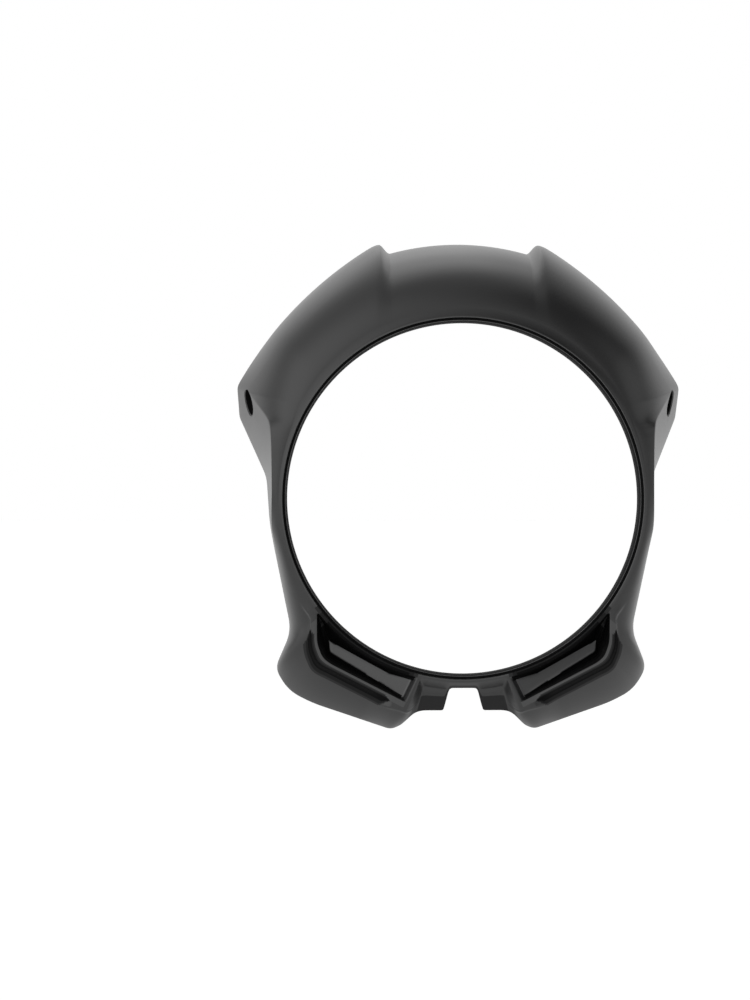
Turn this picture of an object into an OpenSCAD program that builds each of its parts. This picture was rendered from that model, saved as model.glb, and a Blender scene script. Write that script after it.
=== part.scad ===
// Headlight cowl: one moulded shell round a round lamp, with a hood above, a narrow strap down each
// side, two forward pods below and a notched bridge between them.
// X is to the viewer's right, Y is backward and Z is up. The origin is the middle of the straight
// bore round the lamp; depths below are measured from the rim plane in front of it.

/* [Overall] */
// Height from the pods' tips to the hood's rear edge
height = 261; // [252:0.5:276]

/* [Lamp opening] */
// Diameter of the straight bore that passes round the lamp
opening_d = 184; // [170:1:188]
// Length of the straight bore
bore_length = 8; // [6:1:14]
// Depth of the tapered mouth in front of the bore
mouth_depth = 6; // [4:1:10]
// How much wider the mouth is than the bore, on each side
mouth_flare = 0.7; // [0.4:0.1:1.4]
// Width of the narrow land round the mouth
land_width = 1.5; // [1:0.1:2.5]
// Depth of the land below the bead
land_drop = 1.6; // [0.8:0.1:2.2]
// Width of the raised bead round the land
bead_width = 1.8; // [1.2:0.1:2.2]
// Height of the bead above the shell's face
bead_height = 0.7; // [0.3:0.1:1.2]

/* [Shell] */
// Thickness of the moulded wall
wall = 2.6; // [2:0.1:3.2]

/* [Hood] */
// Depth of the hood from the rim to its rear edge
hood_depth = 76; // [60:1:90]
// Radius of the rear edge over the middle of the hood
hood_arc_r = 140; // [110:1:240]
// Half width of the sunk middle of the hood
step_half = 40.5; // [32:0.5:46]
// Width of the sloping wall at each side of the sunk middle
step_run = 6; // [4:0.2:7]
// Height of that wall at the rear edge
step_height = 5.6; // [3:0.2:9]
// How much the peak beside the sunk middle is rounded down
peak_round = 1; // [0.4:0.1:1.6]
// Radius of the rear edge over each shoulder
shoulder_r = 210; // [170:2:300]

/* [Ears] */
// Half width of the cowl across the ears' upper corners
ear_half = 120.2; // [118.6:0.2:122]
// Height of the ear's upper corner above the lamp's centre
ear_top = 60.6; // [58:0.2:64]
// Height of the ear's lower corner above the lamp's centre
ear_bottom = 44.2; // [42:0.2:48]
// Depth of the ear's corners behind the rim plane
ear_depth = 58; // [55:0.5:61]
// Angle by which an ear's face opens towards the rear, in degrees
ear_splay = 16.3; // [15:0.1:17.5]
// Angle by which an ear's face leans outwards going up, in degrees
ear_lean = 13.3; // [10:0.1:15]
// Diameter of the screw's clearance hole
screw_d = 6.5; // [5:0.1:8]
// Diameter of the round well for the screw's head
well_d = 14; // [11:0.5:15]
// Depth of that well
well_depth = 3; // [2.2:0.1:3.6]
// How far the round boss behind the screw stands in from the wall
boss_depth = 3; // [2:0.5:4]
// How far behind the rim plane the screw is
screw_y = 41.5; // [38:0.5:44]
// Height of the screw above the lamp's centre
screw_z = 51.2; // [50:0.2:53]

/* [Straps] */
// Half width across the straps beside the lamp
strap_half = 101.4; // [100.5:0.1:103]
// Depth of a strap beside the lamp
strap_depth = 22; // [16:0.5:28]
// Height at which the ear's slanting edge meets a strap
strap_top = 11.5; // [8:0.5:15]
// Half width across the straps there
strap_top_half = 104; // [102.5:0.1:105]
// Depth of the shell there
strap_top_depth = 47; // [40:1:54]
// How far below the lamp's centre the straps start to draw in
strap_turn_drop = 14; // [8:1:20]
// Half width across the waist above the pods
waist_half = 90.2; // [88:0.2:93]
// How far the waist is below the lamp's centre
waist_drop = 70; // [67:0.5:72]
// Depth of the shell at the waist
waist_depth = 25; // [21:1:28]

/* [Pods] */
// Half width across the pods
pod_half = 99; // [97:0.5:102]
// Depth of a pod at its outer corner
pod_depth = 30; // [27:1:34]
// How far the pods' tips are below the lamp's centre
pod_drop = 121.6; // [118:0.2:128]
// Half distance between the pods' tips
tip_half = 38; // [34:0.5:42]
// Depth of a pod at its tip
tip_depth = 17; // [15:0.5:19]
// Half width across the outer ends of the recesses
recess_half = 76.2; // [75:0.2:77]
// How far the straight outer end of a recess reaches below the lamp's centre
recess_end_drop = 75; // [73:0.5:77]
// Size of the recess's bevelled lower corner
recess_bevel = 11; // [9:0.5:13]
// Half distance between the recesses' inner lower corners
recess_inner_half = 31; // [29:0.5:33]
// How far those corners are below the lamp's centre
recess_inner_drop = 105.6; // [104:0.2:107]
// How far a recess's outer end wall slopes in
recess_end_width = 6.2; // [5:0.2:7]
// Width of the lip round the recess
lip_width = 3.1; // [2:0.1:4]
// How far the lip's crest falls away towards the groove
lip_fall = 2.6; // [1.5:0.1:3.2]
// Width of the groove outside the lip
groove_width = 4.2; // [3:0.1:4.8]
// Depth of that groove
groove_depth = 7.5; // [6:0.1:8.5]
// Depth of the recess at its outer end
recess_depth_outer = 9.5; // [7:0.5:12]
// Depth of the recess at its inner end
recess_depth_inner = 3; // [2.5:0.5:4.5]
// Depth of the narrow channel round the plate in the recess, below the plate
moat_depth = 2.2; // [1.5:0.1:2.6]

// Length from which a corner of the free edge is rounded
edge_round = 5; // [4:0.5:6]

/* [Bridge] */
// How far the bridge's lower edge is below the lamp's centre
bridge_drop = 110.8; // [108:0.2:114]
// Depth of the bridge's face behind the rim plane
bridge_depth = 6.6; // [5:0.2:9]
// Half width of the notch at its top
notch_half_top = 7.2; // [5:0.2:9]
// Half width of the notch at its foot
notch_half_foot = 10.4; // [9.2:0.2:13]
// How far the notch's top is below the lamp's centre
notch_top_drop = 99; // [98:0.2:103]

/* [Hidden] */
rim_segments = 180;
bore_r = opening_d / 2;
mouth_r = bore_r + mouth_flare;
bead_r = mouth_r + land_width + bead_width;
face_y = bead_height;
hood_rise = height - pod_drop;

function mix(a, b, t) = a + (b - a) * t;
function ease(x, low, high) =
    let (t = min(max((x - low) / (high - low), 0), 1))
    t * t * (3 - 2 * t);
function ramp(x, first, last) = min(max((x - first) / (last - first), 0), 1);
function polar(r, a) = [r * sin(a), r * cos(a)];
function front(p) = [p[0], p[2]];

// Replaces each corner of a path by a short curve that starts the corner's own last value away.
function rounded(path) = [
    for (i = [0 : len(path) - 1])
        let (p = path[i], at = [p[0], p[1], p[2]], size = p[3])
        if (i == 0 || i == len(path) - 1 || size == 0) at
        else
            let (
                before = path[i - 1],
                after = path[i + 1],
                back = [before[0], before[1], before[2]] - at,
                on = [after[0], after[1], after[2]] - at,
                p0 = at + back * size / norm(back),
                p2 = at + on * size / norm(on)
            )
            each [for (k = [0 : 0.25 : 1]) p0 * (1 - k) * (1 - k) + at * 2 * k * (1 - k) + p2 * k * k]
];

// How far along the line from q0 to q1 a path is crossed, and the crossing's depth.
function crossing(q0, q1, path) =
    let (
        d = q1 - q0,
        side = [for (p = path) (p[0] - q0[0]) * d[1] - (p[2] - q0[1]) * d[0]],
        hits = [
            for (i = [0 : len(path) - 2])
                if (side[i] * side[i + 1] <= 0 && side[i] != side[i + 1])
                    let (p = mix(path[i], path[i + 1], side[i] / (side[i] - side[i + 1])))
                    [(front(p) - q0) * d / (d * d), p[1]]
        ]
    )
    hits[0];

// Rear edge of the hood: a wide arc over the sunk middle, and one over each shoulder.
ridge_x = step_half + step_run / 2;
valley_x = step_half - step_run / 2;
function middle_z(x) = hood_rise - hood_arc_r + sqrt(hood_arc_r * hood_arc_r - x * x);
ridge_z = middle_z(valley_x) + step_height;
chord = [ear_half - ridge_x, ear_top - ridge_z];
chord_middle = [ear_half + ridge_x, ear_top + ridge_z] / 2;
chord_back = sqrt(shoulder_r * shoulder_r - chord * chord / 4) / norm(chord);
shoulder_c = chord_middle + [chord[1], -chord[0]] * chord_back;
ridge_a = atan2(ridge_x, ridge_z);
corner_a = atan2(ear_half, ear_top);
last_shoulder_a = corner_a - 2;

// An ear's flat outer face: its half width at a depth and height. Below the ear it no longer leans.
splay = tan(ear_splay);
lean = tan(ear_lean);
lean_end = 0.9 * ear_bottom;
lean_run = 0.18 * ear_bottom;
function lean_z(z) =
    z > lean_end + lean_run ? z
    : lean_end + lean_run / 2 + pow(max(z - lean_end, 0), 2) / (2 * lean_run);
function ear_x(y, z) = ear_half + splay * (y - ear_depth) + lean * (lean_z(z) - ear_top);
ear_lower_half = ear_half - 0.043 * (ear_top - ear_bottom);
ear_lower_depth = (ear_lower_half - ear_x(0, ear_bottom)) / splay;

function shoulder_at(b) =
    let (
        u = [sin(b), cos(b)],
        along = shoulder_c * u,
        p = u * (along + sqrt(along * along - shoulder_c * shoulder_c + shoulder_r * shoulder_r)),
        z = p[1] - peak_round * pow(1 - ramp(b, ridge_a, ridge_a + 2.4), 2)
    )
    [p[0], mix(hood_depth, ear_depth, ramp(z, ridge_z, ear_top)), z];
last_shoulder = shoulder_at(last_shoulder_a);

// Free edge from the ear down the strap and round the pod to the notch, with a rounding per corner.
function pod_corner(across, depth, down, size) = [
    mix(pod_half, tip_half, across), depth * pod_depth, -mix(waist_drop, pod_drop, down), size * edge_round
];
function tip_corner(across, forward, up, size) = [
    mix(tip_half, notch_half_foot, across),
    mix(tip_depth, bridge_depth, forward),
    -mix(pod_drop, bridge_drop, up),
    size * edge_round
];
edge_path = rounded([
    [last_shoulder[0], last_shoulder[1], last_shoulder[2], 0],
    [ear_half, ear_depth, ear_top, 0.45 * edge_round],
    [ear_lower_half, ear_lower_depth, ear_bottom, 0.35 * edge_round],
    [strap_top_half, strap_top_depth, strap_top, edge_round],
    [strap_half, strap_depth, -strap_turn_drop, 1.8 * edge_round],
    [waist_half, waist_depth, -waist_drop, 1.4 * edge_round],
    pod_corner(0, 1, 0.39, 1),
    pod_corner(0.115, 0.94, 0.62, 1.4),
    pod_corner(0.328, 0.83, 0.744, 1.2),
    tip_corner(0, 0, 0, 0.5),
    tip_corner(0.18, 0.14, 0.18, 0.5),
    tip_corner(0.49, 0.86, 1, 1),
    [notch_half_foot, bridge_depth, -bridge_drop, 0.2 * edge_round],
    [notch_half_top, bridge_depth, -notch_top_drop, 0.4 * edge_round],
    [0, bridge_depth, -notch_top_drop, 0],
    [-notch_half_top, bridge_depth, -notch_top_drop, 0],
]);

// Columns leave the rim at one angle from the top and reach the free edge at another.
rim_ridge_a = asin(ridge_x / bead_r);
rim_valley_a = asin(valley_x / bead_r);
rim_corner_a = 60;
rim_ear_a = 67;
strap_a = 85;
slide_a = 116;
pod_open_a = 122;
pod_full_a = 127.5;
recess_end_a = 164.6;
pod_end_a = recess_end_a + 1.8;
bridge_a = pod_end_a + 1.9;
notch_foot_a = atan2(notch_half_foot, -bridge_drop);
notch_top_a = atan2(notch_half_top, -notch_top_drop);
turn = [
    [rim_ridge_a, ridge_a],
    [rim_corner_a, corner_a],
    [rim_ear_a, atan2(ear_lower_half, ear_bottom)],
    [strap_a, strap_a],
    [140, 140],
    [recess_end_a + 1.4, recess_end_a - 1.2],
    [bridge_a, bridge_a - 0.4],
    [171, 171],
    [180, 180],
];
step_top_z = ridge_z - peak_round;
function step_z(a) =
    mix(middle_z(min(bead_r * sin(a), valley_x)), step_top_z, ease(a, rim_valley_a, rim_ridge_a));
function far_end(a) =
    let (b = lookup(a, turn))
    a < rim_ridge_a - 0.01 ? [bead_r * sin(a), hood_depth, step_z(a)]
    : b <= last_shoulder_a ? shoulder_at(b)
    : let (q1 = polar(300, b), hit = crossing([0, 0], q1, edge_path), p = q1 * hit[0]) [p[0], hit[1], p[1]];

// Each section gives the distance out along its column and the depth, for v from 0 to 10.
function hood_section(v, a, reach, far) =
    let (
        t = v / 10,
        m = mix(0.15, 0, ease(a, rim_valley_a - 1, rim_ridge_a + 1)),
        fill = step_height * (1 - ease(t, 0.05, 0.55)) * (1 - ease(a, rim_valley_a, rim_ridge_a))
    )
    [
        (reach + fill) * mix(sin(90 * t), t, m),
        face_y + (far[1] - face_y) * mix(1 - cos(90 * t), t * t, m)
    ];
// The crease between the front and an ear's face: its depth at each angle, as a share of the ear's.
crease_depths = [
    [48, 0.52], [55, 0.6], [60, 0.69], [62, 0.53], [64, 0.36], [66, 0.18], [67, 0.114], [68.5, 0.072],
    [71, 0.048], [75, 0.036], [85, 0.028], [110, 0.028]
];
function crease_share(yc, q0, far, z) = (ear_x(yc, z) - q0[0]) / (far[0] - q0[0]);
function ear_section(v, a, reach, q0, far) =
    let (
        yc = ear_depth * lookup(a, crease_depths),
        near_share = crease_share(yc, q0, far, mix(q0[1], far[2], 0.5)),
        face_share = crease_share(yc, q0, far, mix(q0[1], far[2], near_share)),
        share = max(min(face_share, mix(0.66, 0.82, ramp(a, 48, 60))), 0.12),
        t = v / 6,
        k = (v - 6) / 4
    )
    v < 6
        ? [reach * share * t, face_y + (yc - face_y) * t * t]
        : [reach * mix(share, 1, k), mix(yc, far[1], k)];
function strap_section(v, a, reach, far) =
    let (t = v / 10)
    [reach * sin(90 * t), face_y + (far[1] - face_y) * (1 - cos(90 * t))];

// The recess's outline at the lip, and its floor's upper and lower edges.
function off_rim(share, a) = let (q = polar(bead_r + share * recess_end_width, a)) [q[0], 0, q[1]];
function recess_corner(across, down, size) = [
    recess_half - across * recess_bevel, 0, -recess_end_drop - down * recess_bevel, size * edge_round
];
lip_path = rounded([
    [recess_half, 0, 0, 0],
    recess_corner(0, 0, 0.6),
    recess_corner(0.25, 0.7, 0.6),
    recess_corner(0.65, 1, 0.4),
    [recess_inner_half, 0, -recess_inner_drop, 0],
    [recess_inner_half / 3, 0, -1.08 * recess_inner_drop, 0],
]);
plate_half = recess_half - recess_end_width;
floor_top_path = [
    off_rim(-0.4, 110), off_rim(-0.4, 118.8), off_rim(0.16, 129), off_rim(1, 136.7), off_rim(0.5, 156.6),
    off_rim(0.36, 164.4), off_rim(0.25, 174)
];
floor_foot_path = [
    off_rim(-0.36, 110),
    off_rim(-0.36, 118.7),
    off_rim(0.22, 129),
    [plate_half, 0, -recess_end_drop],
    [plate_half, 0, -recess_end_drop - 0.5 * recess_bevel],
    [1.05 * recess_inner_half, 0, -0.973 * recess_inner_drop],
    [recess_inner_half / 3, 0, -1.06 * recess_inner_drop],
];
deep_from_a = 137;
function recess_depth(a) = mix(recess_depth_outer, recess_depth_inner, ramp(a, deep_from_a, recess_end_a));
function strap_depth_at(d, reach, far) =
    face_y + (far[1] - face_y) * (1 - sqrt(1 - pow(min(d / reach, 1), 2)));
// A pod: from the rim down to the channel, over the plate, up to the lip, down the groove and out.
function pod_section(v, a, reach, q0, far) =
    let (
        q1 = front(far),
        lip = max(reach * crossing(q0, q1, lip_path)[0], 1),
        top = max(reach * crossing(q0, q1, floor_top_path)[0], 0.5),
        foot = max(reach * crossing(q0, q1, floor_foot_path)[0], top + 0.2, 0.7),
        ends = lookup(a, [
            [128.2, 0], [129.6, 0.5], [131.6, 0.9], [134, 1], [recess_end_a - 0.6, 1], [recess_end_a + 0.9, 0]
        ]),
        floor_y = face_y + recess_depth(a) * ends,
        moat = moat_depth * lookup(a, [[132, 0], [136.8, 1], [156, 0.8], [recess_end_a - 0.6, 0]]),
        lip_out = lip + lip_width * lookup(a, [[127, 1.1], [131, 1.6], [138, 1.4], [142, 1.05], [164, 1]]),
        groove = lip_out + groove_width * lookup(a, [[129, 0.6], [136, 0.8], [140, 1], [160, 1], [165, 0.5]]),
        bend = lookup(a, [[130.4, 1], [134, 0.3], [137, 0], [156, 0], [163, 0.2]]),
        cut_y = groove_depth * lookup(a, [[130, 0.3], [136, 0.75], [140, 1], [156, 0.9], [162, 0.08]]),
        groove_y = mix(face_y + cut_y, strap_depth_at(groove, reach, far) + 0.7, bend),
        fall = lip_fall * lookup(a, [[129, 0], [134, 0.6], [138, 1], [160, 1], [164, 0.3]]),
        lip_y = min(face_y + fall, groove_y),
        groove_a = asin(min(groove / reach, 0.98)),
        t = max(v - 7, 0) / 3,
        turned = mix(groove_a, 90, t),
        curl = mix(t, sin(90 * t), 0.2),
        drop = mix(t, 1 - cos(90 * t), 0.2),
        d = [
            [0, 0], [1, 0.3], [2, mix(0.3, top, 0.34)], [2.6, mix(0.3, top, 0.76)], [3, top],
            [4, foot], [4.3, mix(foot, lip, 0.32)], [5, lip], [6, lip_out],
            [6.5, mix(lip_out, groove, 0.42)], [7, groove]
        ],
        y = [
            [0, face_y], [1, mix(face_y, floor_y, 0.12)], [2, mix(face_y, floor_y, 0.8)],
            [2.6, floor_y + moat], [3, floor_y], [4, floor_y], [4.3, floor_y + moat], [5, face_y],
            [6, lip_y], [6.5, mix(lip_y, groove_y, 0.72)], [7, groove_y]
        ],
        out = v <= 7
            ? [lookup(v, d), lookup(v, y)]
            : [
                mix(mix(groove, reach, curl), reach * sin(turned), bend),
                mix(mix(groove_y, far[1], drop), mix(face_y, far[1], 1 - cos(turned)) + 0.7 * (1 - t), bend)
            ]
    )
    [out[0], mix(strap_depth_at(out[0], reach, far), out[1], ease(a, pod_open_a, pod_full_a))];
function bridge_section(v, reach) =
    let (
        d = reach * v / 10,
        falls = [[0, face_y], [0.65 * bridge_depth, 0.85 * bridge_depth], [0.95 * bridge_depth, bridge_depth]]
    )
    [d, lookup(d, falls)];

function side_section(v, a, reach, q0, far) =
    let (hood = hood_section(v, a, reach, far), strap = strap_section(v, a, reach, far))
    a < 48 ? hood
    : a < 62 ? mix(hood, ear_section(v, a, reach, q0, far), ease(a, 48, 62))
    : a < 110 ? mix(ear_section(v, a, reach, q0, far), strap, ease(a, 88, 110))
    : a < pod_end_a ? strap
    : mix(strap, bridge_section(v, reach), ramp(a, pod_end_a, bridge_a));
// Above a pod the rows only slide along the strap's own curve until they reach the recess's lines.
function slid(plain, pod, a, reach, far) =
    let (d = mix(plain[0], pod[0], ramp(a, slide_a, pod_open_a)))
    [d, strap_depth_at(d, reach, far)];
function outer(v, a) =
    let (
        q0 = polar(bead_r, a),
        far = far_end(a),
        reach = norm(front(far) - q0),
        plain = side_section(v, a, reach, q0, far)
    )
    a < slide_a || a > bridge_a ? plain
    : let (pod = pod_section(v, a, reach, q0, far))
        a > pod_end_a ? mix(pod, bridge_section(v, reach), ramp(a, pod_end_a, bridge_a))
        : a > pod_open_a ? pod
        : slid(plain, pod, a, reach, far);
function place(sec, a) =
    let (q0 = polar(bead_r, a), u = front(far_end(a)) - q0, p = q0 + u * sec[0] / norm(u))
    [p[0], sec[1], p[1]];

// Inner skin: the plain section moved back by the wall; behind a pod it passes below the recess. It
// starts a little inside the bead's radius.
tuck = 0.3 * wall;
function behind(v, a, reach, q0, far) =
    let (
        p = side_section(v, a, reach, q0, far),
        t = side_section(min(v + 0.5, 10), a, reach, q0, far)
            - side_section(max(v - 0.5, 0), a, reach, q0, far),
        n = [-t[1], t[0]] / norm(t)
    )
    p + n * wall;
function inner(v, a) =
    let (
        q0 = polar(bead_r, a),
        far = far_end(a),
        reach = norm(front(far) - q0),
        deep = face_y + wall + moat_depth + recess_depth(a),
        foot = reach * 0.55,
        pod = [
            lookup(v, [[0, -tuck], [6, foot], [10, reach - wall * 1.15]]),
            lookup(v, [[0, deep], [6, deep], [10, far[1]]])
        ],
        w = ease(a, 123, 130) * (1 - ramp(a, pod_end_a - 0.6, bridge_a + 1)),
        sec = mix(behind(v, a, reach, q0, far), pod, w),
        corner = mix(behind(6, a, reach, q0, far), pod, w)[0] - 0.03 * (6 - v)
    )
    [max(v < 6 && a > 48 ? min(sec[0], corner) : sec[0], -tuck - 0.01 * (6 - v)), sec[1]];

angles = concat(
    [for (k = [0 : 5]) asin(valley_x * k / 5 / bead_r)],
    [for (k = [0.25, 0.5, 0.75]) mix(rim_valley_a, rim_ridge_a, k)],
    [for (k = [0 : 11]) mix(rim_ridge_a, rim_corner_a, k / 11)],
    [61, 62, 63, 64, 65, 66, rim_ear_a],
    [for (k = [1 : 6]) mix(rim_ear_a, strap_a, k / 6)],
    [for (a = [90 : 5 : 115]) a],
    [118, 120, 122, 123.4, 124.8, 126, 127.2, 128.3, 129.4, 130.4, 131.3, 132.2, 133.1, 134.2],
    [135.2, 136.5, 137.6, 138.6, 139.6, 141],
    [144, 148, 152, 156, 160],
    [163, recess_end_a, recess_end_a + 1, pod_end_a, mix(pod_end_a, bridge_a, 0.5), bridge_a],
    [169.6, 171.5, 173.2, notch_foot_a - 0.5],
    [for (k = [0 : 4]) mix(notch_foot_a, notch_top_a, k / 4)],
    [notch_top_a + 1.2, 178.4, 180]
);
outer_rows = [1, 2, 2.6, 3, 4, 4.3, 5, 6, 6.5, 7, 7.8, 8.6, 9.3, 10];
inner_rows = [10, 9, 8, 7, 6, 4.8, 3, 1.4, 0];
rear = mouth_depth + bore_length;
bore_middle = mouth_depth + bore_length / 2;
collar_r = bore_r + 0.75 * wall;
spare = 1;
overlap = 0.5;
// Turned part of each loop: up the inside of the collar and over the bead.
rim_front = [
    [bore_r - spare, rear],
    [bore_r - spare, 0],
    [bead_r - 0.6 * bead_width, 0],
    [bead_r, face_y],
];
function loop_at(a) = concat(
    [for (p = rim_front) let (q = polar(p[0], a)) [q[0], p[1], q[1]]],
    [for (v = outer_rows) place(outer(v, a), a)],
    [for (v = inner_rows) place(inner(v, a), a)],
    [let (q = polar(collar_r, a)) [q[0], rear, q[1]]]
);
function mirrored(points) = [for (p = points) [-p[0], p[1], p[2]]];

module shell() {
    half = [for (a = angles) loop_at(a)];
    n = len(half);
    loops = concat(half, [for (i = [n - 2 : -1 : 1]) mirrored(half[i])]);
    m = len(loops[0]);
    count = len(loops);
    points = [for (l = loops) each l];
    faces = [
        for (i = [0 : count - 1], j = [0 : m - 1])
            let (
                i2 = (i + 1) % count,
                j2 = (j + 1) % m,
                a = i * m + j,
                b = i * m + j2,
                c = i2 * m + j2,
                d = i2 * m + j
            )
            each [[a, b, c], [a, c, d]]
    ];
    polyhedron(points, faces, convexity = 8);
}

// Everything that is turned out about the lamp's axis: the land, the tapered mouth and the bore.
module mouth_cut() {
    land_r = mouth_r + land_width;
    profile = [
        [0, spare],
        [land_r, spare],
        [land_r, -land_drop],
        [mouth_r, -land_drop],
        [bore_r, -mouth_depth],
        [bore_r, -rear - spare],
        [0, -rear - spare],
    ];
    rotate([90, 0, 0])
        rotate_extrude($fn = rim_segments)
            polygon(profile);
}

// Stands anything along an ear's outward normal, at the screw's place.
screw_at = [ear_x(screw_y, screw_z), screw_y, screw_z];
module at_screw(side) {
    droop = atan(lean * cos(ear_splay));
    translate([side * screw_at[0], screw_at[1], screw_at[2]])
        rotate([0, 0, side > 0 ? -ear_splay : 180 + ear_splay])
            rotate([0, 90 + droop, 0])
                children();
}

module screw_boss() {
    translate([0, 0, -wall - boss_depth])
        cylinder(h = boss_depth + overlap, r = well_d / 2 + 0.7 * wall, $fn = 48);
}

module screw_cut() {
    translate([0, 0, -well_depth])
        cylinder(h = 3 * well_depth, r = well_d / 2, $fn = 48);
    translate([0, 0, -wall - boss_depth - spare])
        cylinder(h = wall + boss_depth, r = screw_d / 2, $fn = 32);
}

module cowl() {
    color([0.07, 0.07, 0.075])
        translate([0, -bore_middle, 0])
            difference() {
                union() {
                    shell();
                    for (side = [-1, 1])
                        at_screw(side) screw_boss();
                }
                mouth_cut();
                for (side = [-1, 1])
                    at_screw(side) screw_cut();
            }
}

cowl();
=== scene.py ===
import bpy
import bmesh
import math
import numpy as np
from mathutils import Matrix, Vector


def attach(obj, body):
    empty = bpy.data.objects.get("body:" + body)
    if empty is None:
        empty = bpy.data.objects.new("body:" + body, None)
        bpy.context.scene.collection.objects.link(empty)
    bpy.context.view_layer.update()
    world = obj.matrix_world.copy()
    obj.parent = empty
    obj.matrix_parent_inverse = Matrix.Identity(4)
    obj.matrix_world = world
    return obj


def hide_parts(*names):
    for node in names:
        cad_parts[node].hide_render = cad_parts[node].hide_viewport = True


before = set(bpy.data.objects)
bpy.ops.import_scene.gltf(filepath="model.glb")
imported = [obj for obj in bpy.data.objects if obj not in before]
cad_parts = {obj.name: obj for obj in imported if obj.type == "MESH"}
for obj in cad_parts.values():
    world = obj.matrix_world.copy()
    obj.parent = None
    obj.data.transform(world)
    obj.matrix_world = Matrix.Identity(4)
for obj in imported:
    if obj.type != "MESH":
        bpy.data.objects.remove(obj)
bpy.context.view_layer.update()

# Sizes in mm, as in the part's source.
HEIGHT = 261
OPENING_D = 184
BORE_LENGTH = 8
MOUTH_DEPTH = 6
MOUTH_FLARE = 0.7
LAND_WIDTH = 1.5
LAND_DROP = 1.6
BEAD_WIDTH = 1.8
BEAD_HEIGHT = 0.7
WALL = 2.6
HOOD_DEPTH = 76
HOOD_ARC_R = 140
STEP_HALF = 40.5
STEP_RUN = 6
STEP_HEIGHT = 5.6
SHOULDER_R = 210
PEAK_ROUND = 1
EAR_HALF = 120.2
EAR_TOP = 60.6
EAR_BOTTOM = 44.2
EAR_DEPTH = 58
EAR_SPLAY = 16.3
EAR_LEAN = 13.3
SCREW_D = 6.5
WELL_D = 14
WELL_DEPTH = 3
BOSS_DEPTH = 3
SCREW_Y = 41.5
SCREW_Z = 51.2
STRAP_HALF = 101.4
STRAP_DEPTH = 22
STRAP_TOP = 11.5
STRAP_TOP_HALF = 104
STRAP_TOP_DEPTH = 47
STRAP_TURN_DROP = 14
WAIST_HALF = 90.2
WAIST_DROP = 70
WAIST_DEPTH = 25
POD_HALF = 99
POD_DEPTH = 30
POD_DROP = 121.6
TIP_HALF = 38
TIP_DEPTH = 17
RECESS_HALF = 76.2
RECESS_END_DROP = 75
RECESS_BEVEL = 11
RECESS_INNER_HALF = 31
RECESS_INNER_DROP = 105.6
RECESS_END_WIDTH = 6.2
LIP_WIDTH = 3.1
GROOVE_WIDTH = 4.2
GROOVE_DEPTH = 7.5
LIP_FALL = 2.6
RECESS_DEPTH_OUTER = 9.5
RECESS_DEPTH_INNER = 3
MOAT_DEPTH = 2.2
EDGE_ROUND = 5
BRIDGE_DROP = 110.8
BRIDGE_DEPTH = 6.6
NOTCH_HALF_TOP = 7.2
NOTCH_HALF_FOOT = 10.4
NOTCH_TOP_DROP = 99

FACE_Y = BEAD_HEIGHT
HOOD_RISE = HEIGHT - POD_DROP
BORE_R = OPENING_D / 2
MOUTH_R = BORE_R + MOUTH_FLARE
LAND_R = MOUTH_R + LAND_WIDTH
BEAD_R = LAND_R + BEAD_WIDTH
REAR = MOUTH_DEPTH + BORE_LENGTH
BORE_MIDDLE = MOUTH_DEPTH + BORE_LENGTH / 2
COLLAR_R = BORE_R + 0.75 * WALL


def sin(a):
    return math.sin(math.radians(a))


def cos(a):
    return math.cos(math.radians(a))


def mix(a, b, t):
    return a + (b - a) * t


def ramp(x, first, last):
    return min(max((x - first) / (last - first), 0), 1)


def ease(x, low, high):
    t = ramp(x, low, high)
    return t * t * (3 - 2 * t)


def lookup(x, table):
    xs, ys = zip(*table)
    return np.interp(x, xs, ys)


def polar(r, a):
    return np.array([r * sin(a), r * cos(a)])


def rounded(path, steps=8):
    out = []
    for i, p in enumerate(path):
        at, size = np.array(p[:3], float), p[3]
        if i == 0 or i == len(path) - 1 or size == 0:
            out.append(at)
            continue
        back = np.array(path[i - 1][:3], float) - at
        on = np.array(path[i + 1][:3], float) - at
        p0 = at + back * size / np.linalg.norm(back)
        p2 = at + on * size / np.linalg.norm(on)
        for j in range(steps + 1):
            k = j / steps
            out.append(p0 * (1 - k) ** 2 + at * 2 * k * (1 - k) + p2 * k * k)
    return np.array(out)


def crossing(q0, q1, path):
    """Share of the way from q0 to q1 at which the path is crossed, and the path's depth there."""
    d = q1 - q0
    side = (path[:, 0] - q0[0]) * d[1] - (path[:, 2] - q0[1]) * d[0]
    for i in range(len(path) - 1):
        if side[i] * side[i + 1] <= 0 and side[i] != side[i + 1]:
            p = mix(path[i], path[i + 1], side[i] / (side[i] - side[i + 1]))
            return (p[[0, 2]] - q0) @ d / (d @ d), p[1]


# Free edge.
RIDGE_X = STEP_HALF + STEP_RUN / 2
VALLEY_X = STEP_HALF - STEP_RUN / 2


def middle_z(x):
    return HOOD_RISE - HOOD_ARC_R + math.sqrt(HOOD_ARC_R ** 2 - x * x)


RIDGE_Z = middle_z(VALLEY_X) + STEP_HEIGHT
chord = np.array([EAR_HALF - RIDGE_X, EAR_TOP - RIDGE_Z])
chord_back = math.sqrt(SHOULDER_R ** 2 - chord @ chord / 4) / np.linalg.norm(chord)
chord_middle = np.array([EAR_HALF + RIDGE_X, EAR_TOP + RIDGE_Z]) / 2
SHOULDER_C = chord_middle + np.array([chord[1], -chord[0]]) * chord_back
RIDGE_A = math.degrees(math.atan2(RIDGE_X, RIDGE_Z))
CORNER_A = math.degrees(math.atan2(EAR_HALF, EAR_TOP))
LAST_SHOULDER_A = CORNER_A - 2
SPLAY = math.tan(math.radians(EAR_SPLAY))
LEAN = math.tan(math.radians(EAR_LEAN))
LEAN_END = 0.9 * EAR_BOTTOM
LEAN_RUN = 0.18 * EAR_BOTTOM


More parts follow.
